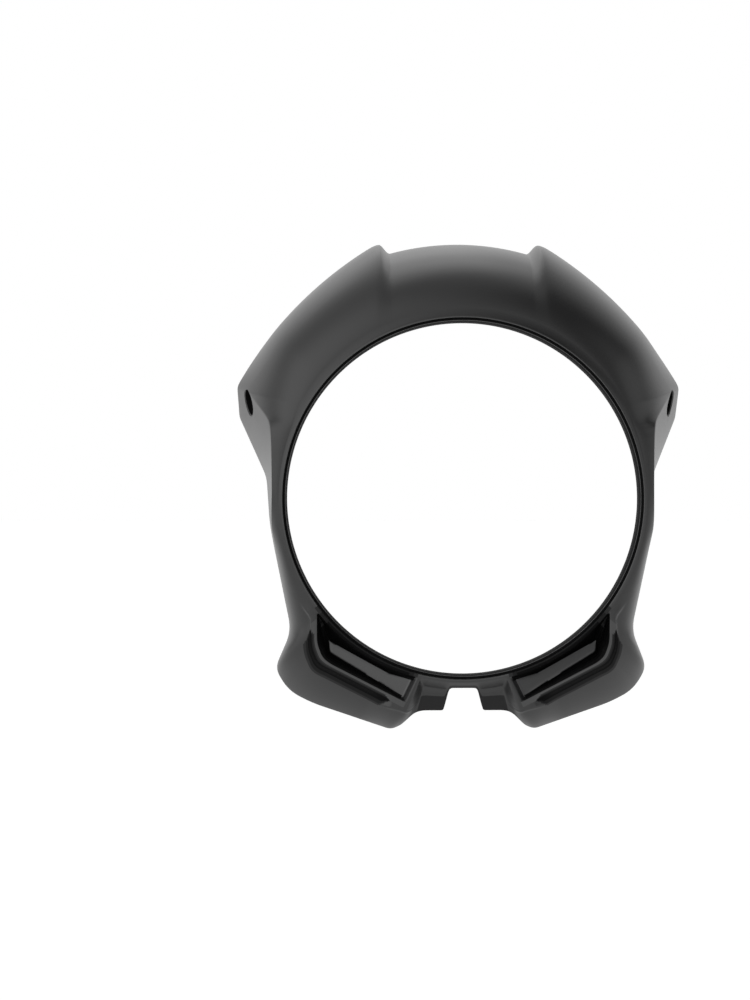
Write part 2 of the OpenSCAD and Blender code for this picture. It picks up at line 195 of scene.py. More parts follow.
def lean_z(z):
    if z > LEAN_END + LEAN_RUN:
        return z
    return LEAN_END + LEAN_RUN / 2 + max(z - LEAN_END, 0) ** 2 / (2 * LEAN_RUN)


def ear_x(y, z):
    return EAR_HALF + SPLAY * (y - EAR_DEPTH) + LEAN * (lean_z(z) - EAR_TOP)


EAR_LOWER_HALF = EAR_HALF - 0.043 * (EAR_TOP - EAR_BOTTOM)
EAR_LOWER_DEPTH = (EAR_LOWER_HALF - ear_x(0, EAR_BOTTOM)) / SPLAY


def shoulder_at(b):
    u = np.array([sin(b), cos(b)])
    along = SHOULDER_C @ u
    p = u * (along + math.sqrt(along * along - SHOULDER_C @ SHOULDER_C + SHOULDER_R ** 2))
    p[1] -= PEAK_ROUND * (1 - ramp(b, RIDGE_A, RIDGE_A + 2.4)) ** 2
    return np.array([p[0], mix(HOOD_DEPTH, EAR_DEPTH, ramp(p[1], RIDGE_Z, EAR_TOP)), p[1]])


def pod_corner(across, depth, down, size):
    return (
        mix(POD_HALF, TIP_HALF, across),
        depth * POD_DEPTH,
        -mix(WAIST_DROP, POD_DROP, down),
        size * EDGE_ROUND,
    )


def tip_corner(across, forward, up, size):
    return (
        mix(TIP_HALF, NOTCH_HALF_FOOT, across),
        mix(TIP_DEPTH, BRIDGE_DEPTH, forward),
        -mix(POD_DROP, BRIDGE_DROP, up),
        size * EDGE_ROUND,
    )


EDGE = rounded([
    (*shoulder_at(LAST_SHOULDER_A), 0),
    (EAR_HALF, EAR_DEPTH, EAR_TOP, 0.45 * EDGE_ROUND),
    (EAR_LOWER_HALF, EAR_LOWER_DEPTH, EAR_BOTTOM, 0.35 * EDGE_ROUND),
    (STRAP_TOP_HALF, STRAP_TOP_DEPTH, STRAP_TOP, EDGE_ROUND),
    (STRAP_HALF, STRAP_DEPTH, -STRAP_TURN_DROP, 1.8 * EDGE_ROUND),
    (WAIST_HALF, WAIST_DEPTH, -WAIST_DROP, 1.4 * EDGE_ROUND),
    pod_corner(0, 1, 0.39, 1),
    pod_corner(0.115, 0.94, 0.62, 1.4),
    pod_corner(0.328, 0.83, 0.744, 1.2),
    tip_corner(0, 0, 0, 0.5),
    tip_corner(0.18, 0.14, 0.18, 0.5),
    tip_corner(0.49, 0.86, 1, 1),
    (NOTCH_HALF_FOOT, BRIDGE_DEPTH, -BRIDGE_DROP, 0.2 * EDGE_ROUND),
    (NOTCH_HALF_TOP, BRIDGE_DEPTH, -NOTCH_TOP_DROP, 0.4 * EDGE_ROUND),
    (0, BRIDGE_DEPTH, -NOTCH_TOP_DROP, 0),
    (-NOTCH_HALF_TOP, BRIDGE_DEPTH, -NOTCH_TOP_DROP, 0),
])

RIM_RIDGE_A = math.degrees(math.asin(RIDGE_X / BEAD_R))
RIM_VALLEY_A = math.degrees(math.asin(VALLEY_X / BEAD_R))
RIM_CORNER_A = 60
RIM_EAR_A = 67
STRAP_A = 85
SLIDE_A = 116
POD_OPEN_A = 122
POD_FULL_A = 127.5
RECESS_END_A = 164.6
POD_END_A = RECESS_END_A + 1.8
BRIDGE_A = POD_END_A + 1.9
NOTCH_FOOT_A = math.degrees(math.atan2(NOTCH_HALF_FOOT, -BRIDGE_DROP))
NOTCH_TOP_A = math.degrees(math.atan2(NOTCH_HALF_TOP, -NOTCH_TOP_DROP))
TURN = [
    (RIM_RIDGE_A, RIDGE_A),
    (RIM_CORNER_A, CORNER_A),
    (RIM_EAR_A, math.degrees(math.atan2(EAR_LOWER_HALF, EAR_BOTTOM))),
    (STRAP_A, STRAP_A),
    (140, 140),
    (RECESS_END_A + 1.4, RECESS_END_A - 1.2),
    (BRIDGE_A, BRIDGE_A - 0.4),
    (171, 171),
    (180, 180),
]


def step_z(a):
    low = middle_z(min(BEAD_R * sin(a), VALLEY_X))
    return mix(low, RIDGE_Z - PEAK_ROUND, ease(a, RIM_VALLEY_A, RIM_RIDGE_A))


def far_end(a):
    if a < RIM_RIDGE_A - 0.01:
        return np.array([BEAD_R * sin(a), HOOD_DEPTH, step_z(a)])
    b = lookup(a, TURN)
    if b <= LAST_SHOULDER_A:
        return shoulder_at(b)
    q1 = polar(300, b)
    share, depth = crossing(np.zeros(2), q1, EDGE)
    return np.array([q1[0] * share, depth, q1[1] * share])


# Each section gives the distance out along its column and the depth, for v from 0 to 10.
def pack(d, y):
    return np.stack([d, y], -1)


def hood_section(v, a, reach, far):
    t = v / 10
    m = mix(0.15, 0, ease(a, RIM_VALLEY_A - 1, RIM_RIDGE_A + 1))
    out = np.sin(t * math.pi / 2)
    back = 1 - np.cos(t * math.pi / 2)
    k = np.clip((t - 0.05) / 0.5, 0, 1)
    fill = STEP_HEIGHT * (1 - k * k * (3 - 2 * k)) * (1 - ease(a, RIM_VALLEY_A, RIM_RIDGE_A))
    return pack((reach + fill) * mix(out, t, m), FACE_Y + (far[1] - FACE_Y) * mix(back, t * t, m))


# The crease between the front and an ear's face: its depth at each angle, as a share of the ear's.
CREASE_DEPTHS = [
    (48, 0.52), (55, 0.6), (60, 0.69), (62, 0.53), (64, 0.36), (66, 0.18), (67, 0.114), (68.5, 0.072),
    (71, 0.048), (75, 0.036), (85, 0.028), (110, 0.028),
]


def crease_share(yc, q0, far, z):
    return (ear_x(yc, z) - q0[0]) / (far[0] - q0[0])


def ear_section(v, a, reach, q0, far):
    yc = EAR_DEPTH * lookup(a, CREASE_DEPTHS)
    near_share = crease_share(yc, q0, far, mix(q0[1], far[2], 0.5))
    share = crease_share(yc, q0, far, mix(q0[1], far[2], near_share))
    share = max(min(share, mix(0.66, 0.82, ramp(a, 48, 60))), 0.12)
    t = v / 6
    k = (v - 6) / 4
    return np.where(
        (v < 6)[:, None],
        pack(reach * share * t, FACE_Y + (yc - FACE_Y) * t * t),
        pack(reach * mix(share, 1, k), mix(yc, far[1], k)),
    )


def strap_section(v, a, reach, far):
    t = v / 10 * math.pi / 2
    return pack(reach * np.sin(t), FACE_Y + (far[1] - FACE_Y) * (1 - np.cos(t)))


def off_rim(share, a):
    x, z = polar(BEAD_R + share * RECESS_END_WIDTH, a)
    return x, 0, z


def recess_corner(across, down, size):
    return (
        RECESS_HALF - across * RECESS_BEVEL,
        0,
        -RECESS_END_DROP - down * RECESS_BEVEL,
        size * EDGE_ROUND,
    )


# The recess's outline at the lip, and its floor's upper and lower edges.
LIP = rounded([
    (RECESS_HALF, 0, 0, 0),
    recess_corner(0, 0, 0.6),
    recess_corner(0.25, 0.7, 0.6),
    recess_corner(0.65, 1, 0.4),
    (RECESS_INNER_HALF, 0, -RECESS_INNER_DROP, 0),
    (RECESS_INNER_HALF / 3, 0, -1.08 * RECESS_INNER_DROP, 0),
])
PLATE_HALF = RECESS_HALF - RECESS_END_WIDTH
FLOOR_TOP = np.array([
    off_rim(-0.4, 110), off_rim(-0.4, 118.8), off_rim(0.16, 129), off_rim(1, 136.7),
    off_rim(0.5, 156.6), off_rim(0.36, 164.4), off_rim(0.25, 174),
])
FLOOR_FOOT = np.array([
    off_rim(-0.36, 110),
    off_rim(-0.36, 118.7),
    off_rim(0.22, 129),
    (PLATE_HALF, 0, -RECESS_END_DROP),
    (PLATE_HALF, 0, -RECESS_END_DROP - 0.5 * RECESS_BEVEL),
    (1.05 * RECESS_INNER_HALF, 0, -0.973 * RECESS_INNER_DROP),
    (RECESS_INNER_HALF / 3, 0, -1.06 * RECESS_INNER_DROP),
])


DEEP_FROM_A = 137


def recess_depth(a):
    return mix(RECESS_DEPTH_OUTER, RECESS_DEPTH_INNER, ramp(a, DEEP_FROM_A, RECESS_END_A))


def strap_depth_at(d, reach, far):
    return FACE_Y + (far[1] - FACE_Y) * (1 - np.sqrt(1 - np.minimum(d / reach, 1) ** 2))


def pod_section(v, a, reach, q0, far):
    """From the rim down to the channel, over the plate, up to the lip, down the groove and out."""
    q1 = far[[0, 2]]
    lip = max(reach * crossing(q0, q1, LIP)[0], 1)
    top = max(reach * crossing(q0, q1, FLOOR_TOP)[0], 0.5)
    foot = max(reach * crossing(q0, q1, FLOOR_FOOT)[0], top + 0.2, 0.7)
    ends = lookup(a, [
        (128.2, 0), (129.6, 0.5), (131.6, 0.9), (134, 1), (RECESS_END_A - 0.6, 1), (RECESS_END_A + 0.9, 0),
    ])
    floor_y = FACE_Y + recess_depth(a) * ends
    moat = MOAT_DEPTH * lookup(a, [(132, 0), (136.8, 1), (156, 0.8), (RECESS_END_A - 0.6, 0)])
    lip_out = lip + LIP_WIDTH * lookup(a, [(127, 1.1), (131, 1.6), (138, 1.4), (142, 1.05), (164, 1)])
    groove = lip_out + GROOVE_WIDTH * lookup(a, [(129, 0.6), (136, 0.8), (140, 1), (160, 1), (165, 0.5)])
    bend = lookup(a, [(130.4, 1), (134, 0.3), (137, 0), (156, 0), (163, 0.2)])
    cut_y = GROOVE_DEPTH * lookup(a, [(130, 0.3), (136, 0.75), (140, 1), (156, 0.9), (162, 0.08)])
    groove_y = mix(FACE_Y + cut_y, strap_depth_at(groove, reach, far) + 0.7, bend)
    crest_fall = LIP_FALL * lookup(a, [(129, 0), (134, 0.6), (138, 1), (160, 1), (164, 0.3)])
    lip_y = min(FACE_Y + crest_fall, groove_y)
    groove_a = math.asin(min(groove / reach, 0.98))
    t = np.maximum(v - 7, 0) / 3
    turned = mix(groove_a, math.pi / 2, t)
    stops = [0, 0.5, 1, 2, 2.6, 3, 4, 4.3, 4.7, 5, 6, 6.5, 7]
    d = np.interp(v, stops, [
        0, 0.12, 0.3, mix(0.3, top, 0.34), mix(0.3, top, 0.76), top, foot,
        mix(foot, lip, 0.32), mix(foot, lip, 0.74), lip, lip_out, mix(lip_out, groove, 0.42), groove,
    ])
    y = np.interp(v, stops, [
        FACE_Y, FACE_Y, mix(FACE_Y, floor_y, 0.12), mix(FACE_Y, floor_y, 0.8), floor_y + moat,
        floor_y, floor_y, floor_y + moat, mix(floor_y, FACE_Y, 0.4), FACE_Y,
        lip_y, mix(lip_y, groove_y, 0.72), groove_y,
    ])
    curl = mix(t, np.sin(t * math.pi / 2), 0.2)
    fall = mix(t, 1 - np.cos(t * math.pi / 2), 0.2)
    d2 = mix(mix(groove, reach, curl), reach * np.sin(turned), bend)
    y2 = mix(
        mix(groove_y, far[1], fall),
        mix(FACE_Y, far[1], 1 - np.cos(turned)) + 0.7 * (1 - t),
        bend,
    )
    sec = np.where((v <= 7)[:, None], pack(d, y), pack(d2, y2))
    shown = ease(a, POD_OPEN_A, POD_FULL_A)
    sec[:, 1] = mix(strap_depth_at(sec[:, 0], reach, far), sec[:, 1], shown)
    return sec


def bridge_section(v, reach):
    d = reach * v / 10
    stops = [0, 0.65 * BRIDGE_DEPTH, 0.95 * BRIDGE_DEPTH]
    return pack(d, np.interp(d, stops, [FACE_Y, 0.85 * BRIDGE_DEPTH, BRIDGE_DEPTH]))


def side_section(v, a, reach, q0, far):
    hood = hood_section(v, a, reach, far)
    strap = strap_section(v, a, reach, far)
    if a < 48:
        return hood
    if a < 62:
        return mix(hood, ear_section(v, a, reach, q0, far), ease(a, 48, 62))
    if a < 110:
        return mix(ear_section(v, a, reach, q0, far), strap, ease(a, 88, 110))
    if a < POD_END_A:
        return strap
    return mix(strap, bridge_section(v, reach), ramp(a, POD_END_A, BRIDGE_A))


def outer(v, a, q0, far, reach):
    plain = side_section(v, a, reach, q0, far)
    if a < SLIDE_A or a > BRIDGE_A:
        return plain
    pod = pod_section(v, a, reach, q0, far)
    if a > POD_END_A:
        return mix(pod, bridge_section(v, reach), ramp(a, POD_END_A, BRIDGE_A))
    if a > POD_OPEN_A:
        return pod
    # Above the pod the rows only slide along the strap's own curve.
    d = mix(plain[:, 0], pod[:, 0], ramp(a, SLIDE_A, POD_OPEN_A))
    return pack(d, strap_depth_at(d, reach, far))


# How far inside the bead's radius the inner skin starts.
TUCK = 0.3 * WALL


def inner(v, a, q0, far, reach):
    """The plain section moved back by the wall; behind a pod it passes below the recess."""
    def behind(v):
        p = side_section(v, a, reach, q0, far)
        after = side_section(np.minimum(v + 0.5, 10), a, reach, q0, far)
        before = side_section(np.maximum(v - 0.5, 0), a, reach, q0, far)
        t = after - before
        n = np.stack([-t[:, 1], t[:, 0]], -1)
        return p + n / np.linalg.norm(n, axis=1)[:, None] * WALL

    def pod(v):
        deep = FACE_Y + WALL + MOAT_DEPTH + recess_depth(a)
        return pack(
            np.interp(v, [0, 6, 10], [-TUCK, reach * 0.55, reach - WALL * 1.15]),
            np.interp(v, [0, 6, 10], [deep, deep, far[1]]),
        )

    w = ease(a, 123, 130) * (1 - ramp(a, POD_END_A - 0.6, BRIDGE_A + 1))
    sec = mix(behind(v), pod(v), w)
    if a > 48:
        six = np.array([6.0])
        corner = mix(behind(six), pod(six), w)[0, 0] - 0.03 * (6 - v)
        sec[:, 0] = np.where(v < 6, np.minimum(sec[:, 0], corner), sec[:, 0])
    sec[:, 0] = np.maximum(sec[:, 0], -TUCK - 0.01 * (6 - np.minimum(v, 6)))
    return sec


# Columns and rows of the fine mesh.
def spread(points):
    """Angles from a list of (start, step) pairs, ending with the last start."""
    out = []
    for (a, step), (b, _) in zip(points, points[1:]):
        n = max(1, round((b - a) / step))
        out += [a + (b - a) * i / n for i in range(n)]
    return out + [points[-1][0]]


ANGLES = spread([
    (0, 0.66), (RIM_VALLEY_A - 1.2, 0.25), (RIM_RIDGE_A + 1.2, 0.6), (58, 0.42), (73, 0.75),
    (118, 0.42), (126, 0.27), (138, 0.42), (143, 0.62), (159, 0.36), (163.5, 0.18), (168.6, 0.4),
    (NOTCH_FOOT_A - 0.6, 0.15), (NOTCH_TOP_A + 0.6, 0.45), (180, 0),
])
FACE_ROWS = np.array(spread([
    (0.5, 0.25), (1, 0.2), (2, 0.12), (3, 0.17), (4, 0.1), (4.7, 0.1), (5, 0.2),
    (6, 0.125), (7, 0.1), (8, 0.18), (10, 0),
]))
BACK_ROWS = np.array(spread([(0, 0.45), (5.5, 0.3), (7, 0.4), (10, 0)]))[::-1]

# Turned part of each loop: up the inside of the mouth, over the land and the bead.
RIM = rounded([
    (BORE_R, REAR, 0, 0),
    (BORE_R, MOUTH_DEPTH, 0, 0.8),
    (MOUTH_R, LAND_DROP, 0, 0.3),
    (LAND_R, LAND_DROP, 0, 0.15),
    (LAND_R, 0, 0, 0.4),
    (BEAD_R - 0.6 * BEAD_WIDTH, 0, 0, 0.4),
    (BEAD_R, FACE_Y, 0, 0),
], steps=4)[:, :2]


def ring_point(r, y, a):
    return np.array([r * sin(a), y, r * cos(a)])


def loop_at(a):
    q0, far = polar(BEAD_R, a), far_end(a)
    u = far[[0, 2]] - q0
    reach = np.linalg.norm(u)
    u = u / reach

    def place(sec):
        p = q0 + sec[:, :1] * u
        return np.stack([p[:, 0], sec[:, 1], p[:, 1]], -1)

    front = place(outer(FACE_ROWS, a, q0, far, reach))
    back = place(inner(BACK_ROWS, a, q0, far, reach))
    edge = [mix(front[-1], back[0], t) for t in (0.12, 0.35, 0.65, 0.88)]
    rim = [ring_point(r, y, a) for r, y in RIM]
    collar = [ring_point(COLLAR_R, REAR, a)]
    return np.concatenate([rim, front, edge, back, collar])


half = np.array([loop_at(a) for a in ANGLES])
other = half[-2:0:-1] * np.array([-1, 1, 1])
grid = np.concatenate([half, other])
n_rim = len(RIM)
n_front = len(FACE_ROWS)
cols, rows = grid.shape[:2]
# How freely smoothing may move each row: not at all round the rim, and less beside it.
free = np.zeros(rows)
free[n_rim + 1:-2] = 1
free[n_rim:n_rim + 3] = (0, 0.4, 0.8)


def smooth(g, times):
    for _ in range(times):
        around = (np.roll(g, 1, 0) + np.roll(g, -1, 0)) / 2
        along = (np.roll(g, 1, 1) + np.roll(g, -1, 1)) / 2
        g = g + ((around + along) / 2 - g) * 0.5 * free[None, :, None]
    return g


grid = smooth(grid, 2)
grid[:, :, 1] -= BORE_MIDDLE
grid /= 1000


def mesh_object(name, verts, faces):
    mesh = bpy.data.meshes.new(name)
    mesh.from_pydata([tuple(v) for v in verts], [], faces)
    mesh.validate()
    bm = bmesh.new()
    bm.from_mesh(mesh)
    bmesh.ops.recalc_face_normals(bm, faces=bm.faces)
    bm.to_mesh(mesh)
    bm.free()
    obj = bpy.data.objects.new(name, mesh)
    bpy.context.scene.collection.objects.link(obj)
    return obj


faces = []
for i in range(cols):
    i2 = (i + 1) % cols
    for j in range(rows):
        j2 = (j + 1) % rows
        faces.append((i * rows + j, i * rows + j2, i2 * rows + j2, i2 * rows + j))


# Materials: black moulded plastic with a fine grain, in a satin finish and in darker and brighter copies
# of it that paint shade and highlight.
def new_material(name):
    mat = bpy.data.materials.new(name)
    mat.use_nodes = True
    mat.node_tree.nodes.clear()
    return mat, mat.node_tree.nodes, mat.node_tree.links


# Scales of the plastic's soft clouding, its fine grain and its pits, and the depth of that relief.
CLOUD_SCALE = 18
GRAIN_SCALE = 2600
PIT_SCALE = 1500
RELIEF_STRENGTH = 0.12
RELIEF_DEPTH = 0.00006
PLASTIC_IOR = 1.6


def moulded_plastic(name, dark, pale, rough_low, rough_high, level):
    mat, nodes, links = new_material(name)
    out = nodes.new("ShaderNodeOutputMaterial")
    bsdf = nodes.new("ShaderNodeBsdfPrincipled")
    bsdf.inputs["IOR"].default_value = PLASTIC_IOR
    bsdf.inputs["Specular IOR Level"].default_value = level
    coords = nodes.new("ShaderNodeTexCoord")
    cloud = nodes.new("ShaderNodeTexNoise")
    cloud.inputs["Scale"].default_value = CLOUD_SCALE
    cloud.inputs["Detail"].default_value = 3
    tone = nodes.new("ShaderNodeValToRGB")
    for element, place, grey in zip(tone.color_ramp.elements, (0.3, 0.7), (dark, pale)):
        element.position = place
        element.color = (grey, grey, grey * 1.05, 1)
    grain = nodes.new("ShaderNodeTexNoise")
    grain.inputs["Scale"].default_value = GRAIN_SCALE
    grain.inputs["Detail"].default_value = 2
    pits = nodes.new("ShaderNodeTexVoronoi")
    pits.inputs["Scale"].default_value = PIT_SCALE
    rough = nodes.new("ShaderNodeMapRange")
    rough.inputs["To Min"].default_value = rough_low
    rough.inputs["To Max"].default_value = rough_high
    blend = nodes.new("ShaderNodeMath")
    blend.operation = "ADD"
    bump = nodes.new("ShaderNodeBump")
    bump.inputs["Strength"].default_value = RELIEF_STRENGTH
    bump.inputs["Distance"].default_value = RELIEF_DEPTH
    for tex in (cloud, grain, pits):
        links.new(coords.outputs["Object"], tex.inputs["Vector"])
    links.new(cloud.outputs["Fac"], tone.inputs["Fac"])
    links.new(tone.outputs["Color"], bsdf.inputs["Base Color"])
    links.new(cloud.outputs["Fac"], rough.inputs["Value"])
    links.new(rough.outputs["Result"], bsdf.inputs["Roughness"])
    links.new(grain.outputs["Fac"], blend.inputs[0])
    links.new(pits.outputs["Distance"], blend.inputs[1])
    links.new(blend.outputs["Value"], bump.inputs["Height"])
    links.new(bump.outputs["Normal"], bsdf.inputs["Normal"])
    links.new(bsdf.outputs["BSDF"], out.inputs["Surface"])
    return mat


shell = mesh_object("cowl_shell", grid.reshape(-1, 3), faces)
# The satin finish of one moulding and its copies with painted light: name, two greys, two roughnesses and
# how much light it throws back. The second, third and fifth are darker copies that paint shade into the
# mouth, bore, wells, recesses, groove and bridge; the fourth is a brighter copy that paints a highlight on
# the bead, plate and lip.
FINISHES_AND_PAINTED_LIGHT = [
    ("satin_plastic", 0.0045, 0.006, 0.3, 0.36, 0.5),
    ("painted_shade_matt", 0.0025, 0.004, 0.65, 0.75, 0.05),
    ("painted_shade_soft", 0.0035, 0.005, 0.4, 0.46, 0.24),
    # Painted highlight: this brighter copy lights the bead, the plate and the lip's crest.
    ("painted_highlight_bright", 0.0045, 0.006, 0.26, 0.32, 0.68),
    ("painted_shade_deep", 0.003, 0.0045, 0.5, 0.6, 0.14),
]
SATIN, MATT_PAINTED_SHADE, SOFT_PAINTED_SHADE, PAINTED_HIGHLIGHT, DEEP_PAINTED_SHADE = range(len(FINISHES_AND_PAINTED_LIGHT))
for finish in FINISHES_AND_PAINTED_LIGHT:
    shell.data.materials.append(moulded_plastic(*finish))

# Painted shade: the strip between the bead and a recess darkens in steps; the angle from which each darker
# copy holds.
STRIP_PAINTED_SHADE_STEPS = [
    (0, SATIN), (126.5, SOFT_PAINTED_SHADE), (129, DEEP_PAINTED_SHADE), (132.5, MATT_PAINTED_SHADE),
    (RECESS_END_A - 1.6, DEEP_PAINTED_SHADE), (RECESS_END_A - 0.2, SOFT_PAINTED_SHADE), (RECESS_END_A + 1, SATIN),
]
# Painted shade in the groove, darkest under the lip: how far past the lip's outer edge each darker copy
# reaches.
GROOVE_PAINTED_SHADE_BANDS = [(-0.45, SOFT_PAINTED_SHADE), (-0.3, DEEP_PAINTED_SHADE), (0.65, MATT_PAINTED_SHADE), (0.95, DEEP_PAINTED_SHADE), (1.2, SOFT_PAINTED_SHADE)]
RECESS_START_A = 129.5
PLATE_START_A = 136.9


def by_recess(a):
    return [finish for start, finish in STRIP_PAINTED_SHADE_STEPS if a >= start][-1]


def finish_or_painted_light_at(a, v):
    """The finish of the front face at an angle and row: satin, darker copies with painted shade on the
    recess walls, strip, groove and bridge, or the brighter copy with a painted highlight on the plate and
    lip.
    """
    end = RECESS_END_A
    # Painted shade on the recess's walls and channel, painted highlight on its plate.
    if RECESS_START_A < a < 132.4 and 0.45 < v < 4.96:
        return SOFT_PAINTED_SHADE if a < 131 else DEEP_PAINTED_SHADE
    if 132.4 < a < end - 0.8 and 4.5 < v < 4.96:
        return DEEP_PAINTED_SHADE if v < 4.75 else SOFT_PAINTED_SHADE
    if RECESS_START_A < a < end + 0.3 and 0.45 < v < 3:
        return MATT_PAINTED_SHADE
    if RECESS_START_A < a < end - 0.8 and 4 < v < 4.96:
        return MATT_PAINTED_SHADE
    if RECESS_START_A < a < end and 3 <= v <= 4:
        return MATT_PAINTED_SHADE if a < PLATE_START_A else PAINTED_HIGHLIGHT
    width = min((a - 130.5) / 2, (end - 3 - a) / 2.4, 1)
    if width > 0 and v > 6 - 0.6 * width:
        for share, finish in GROOVE_PAINTED_SHADE_BANDS:
            if v < 6 + share * width:
                return finish
    # Painted highlight on the lip's crest.
    if RECESS_START_A < a < end + 1 and 4.96 < v < 6:
        return PAINTED_HIGHLIGHT
    if v < 0.45:
        return by_recess(a)
    # Painted shade on the bridge's lower band.
    if a > BRIDGE_A and 5.2 < v:
        return SOFT_PAINTED_SHADE
    return SATIN


def rim_finish_or_painted_light(a, r, y):
    """The finish of the mouth, land and bead at an angle, radius and depth: painted shade in the mouth and
    bore and beside a recess, a painted highlight on the bead and the mouth's edge.
    """
    bead = LAND_R - 0.02 < r < LAND_R + 0.62 and y < 0.3
    mouth_edge = abs(r - MOUTH_R) < 0.2 and y < LAND_DROP + 0.6
    dim = by_recess(a)
    if dim != SATIN and r > LAND_R - 0.02:
        return DEEP_PAINTED_SHADE if bead and dim == MATT_PAINTED_SHADE else dim
    if bead or mouth_edge:
        return PAINTED_HIGHLIGHT
    return MATT_PAINTED_SHADE if r < LAND_R - 0.02 and y < REAR - 0.05 else SATIN


for i, a in enumerate(ANGLES + ANGLES[-2:0:-1]):
    for j in range(n_rim):
        r, y = (np.array(RIM[j]) + RIM[min(j + 1, n_rim - 1)]) / 2
        shell.data.polygons[i * rows + j].material_index = rim_finish_or_painted_light(a + 0.01, r, y)
    for j in range(n_front - 1):
        v = (FACE_ROWS[j] + FACE_ROWS[j + 1]) / 2
        shell.data.polygons[i * rows + n_rim + j].material_index = finish_or_painted_light_at(a + 0.01, v)


def lathe(name, profile, steps=96):
    """A closed turned piece about local Z from (radius, height) pairs that start and end on the axis."""
    verts, faces = [(0, 0, profile[0][1]), (0, 0, profile[-1][1])], []
    body = profile[1:-1]
    m = len(body)
    for i in range(steps):
        a = 2 * math.pi * i / steps
        verts += [(r * math.cos(a), r * math.sin(a), z) for r, z in body]
    for i in range(steps):
        a, b = 2 + i * m, 2 + ((i + 1) % steps) * m
        faces.append((0, b, a))
        faces.append((1, a + m - 1, b + m - 1))
        for j in range(m - 1):
            faces.append((a + j, b + j, b + j + 1, a + j + 1))
    return mesh_object(name, np.array(verts) / 1000, faces)


def at_screw(side):
    """The screw's place on an ear, with local Z along the ear's outward normal."""
    droop = math.atan(LEAN * cos(EAR_SPLAY))
    turn = math.radians(-EAR_SPLAY if side > 0 else 180 + EAR_SPLAY)
    place = Vector((side * ear_x(SCREW_Y, SCREW_Z), SCREW_Y - BORE_MIDDLE, SCREW_Z)) / 1000
    turned = Matrix.Rotation(turn, 4, "Z") @ Matrix.Rotation(math.pi / 2 + droop, 4, "Y")
    return Matrix.Translation(place) @ turned


def combine(target, tool, operation):
    mod = target.modifiers.new("cut", "BOOLEAN")
    mod.object, mod.operation, mod.solver = tool, operation, "MANIFOLD"
    dg = bpy.context.evaluated_depsgraph_get()
    made = bpy.data.meshes.new_from_object(target.evaluated_get(dg))
    target.modifiers.clear()
    old = target.data
    target.data = made
    bpy.data.meshes.remove(old)
    bpy.data.objects.remove(tool)


# A boss and a well as turned profiles: radius and height along the ear's outward normal.
BOSS_R = WELL_D / 2 + 0.7 * WALL
WELL_R = WELL_D / 2
HOLE_R = SCREW_D / 2
BOSS_FOOT = -WALL - BOSS_DEPTH
BOSS = [
    (0, 0.5 - WALL), (BOSS_R + 0.6, 0.5 - WALL), (BOSS_R + 0.6, -WALL), (BOSS_R + 0.15, -WALL - 0.15),
    (BOSS_R, -WALL - 0.6), (BOSS_R, BOSS_FOOT + 0.4), (BOSS_R - 0.4, BOSS_FOOT), (0, BOSS_FOOT),
]
WELL = [
    (0, 6), (WELL_R + 0.5, 6), (WELL_R + 0.5, 0.2), (WELL_R + 0.32, -0.05), (WELL_R + 0.08, -0.25),
    (WELL_R, -0.6), (WELL_R, 0.4 - WELL_DEPTH), (WELL_R - 0.12, 0.12 - WELL_DEPTH),
    (WELL_R - 0.4, -WELL_DEPTH), (HOLE_R + 0.25, -WELL_DEPTH), (HOLE_R, -WELL_DEPTH - 0.25),
    (HOLE_R, BOSS_FOOT - 2), (0, BOSS_FOOT - 2),
]
for side in (-1, 1):
    for name, profile, operation in (("boss", BOSS, "UNION"), ("well", WELL, "DIFFERENCE")):
        tool = lathe(name, profile)
        tool.data.transform(at_screw(side))
        combine(shell, tool, operation)

SAME_POINT = 2e-6
SHARP_ANGLE = math.radians(38)


def shade(mesh):
    """Joins doubled points and shades the mesh smooth, except over its sharp edges."""
    bm = bmesh.new()
    bm.from_mesh(mesh)
    bmesh.ops.remove_doubles(bm, verts=bm.verts, dist=SAME_POINT)
    bmesh.ops.recalc_face_normals(bm, faces=bm.faces)
    for e in bm.edges:
        e.smooth = len(e.link_faces) == 2 and e.calc_face_angle(0) < SHARP_ANGLE
    for f in bm.faces:
        f.smooth = True
    bm.to_mesh(mesh)
    bm.free()


shade(shell.data)
# Painted shade inside the screw wells: their walls and floors take the darkest copy.
for back in (at_screw(-1).inverted(), at_screw(1).inverted()):
    for face in shell.data.polygons:
        at = back @ face.center * 1000
        if math.hypot(at.x, at.y) < WELL_R + 0.1 and BOSS_FOOT - 0.5 < at.z < -0.5:
            face.material_index = MATT_PAINTED_SHADE
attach(shell, "root")
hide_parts("cowl")

# Camera: the photograph's view, slightly from the object's left.
YAW = math.radians(2.6)
DISTANCE = 1.3
LENS = 90
SENSOR = 36
SHIFT_X = -0.0888
SHIFT_Y = -0.00165
RIM_Y = -BORE_MIDDLE / 1000
camera_data = bpy.data.cameras.new("camera")
camera = bpy.data.objects.new("camera", camera_data)
bpy.context.scene.collection.objects.link(camera)
bpy.context.scene.camera = camera
camera_data.sensor_width = SENSOR
camera_data.lens = LENS
camera_data.shift_x = SHIFT_X
camera_data.shift_y = SHIFT_Y
camera_data.clip_start = 0.01
camera_data.clip_end = 50
camera.location = (-DISTANCE * math.sin(YAW), RIM_Y - DISTANCE * math.cos(YAW), 0)
camera.rotation_euler = (math.pi / 2, 0, -YAW)

# Floor, world and lamp.
FLOOR_Z = -0.45
FLOOR_SIZE = 200
FLOOR_GREY = 0.6
FLOOR_GLOW = 0.56


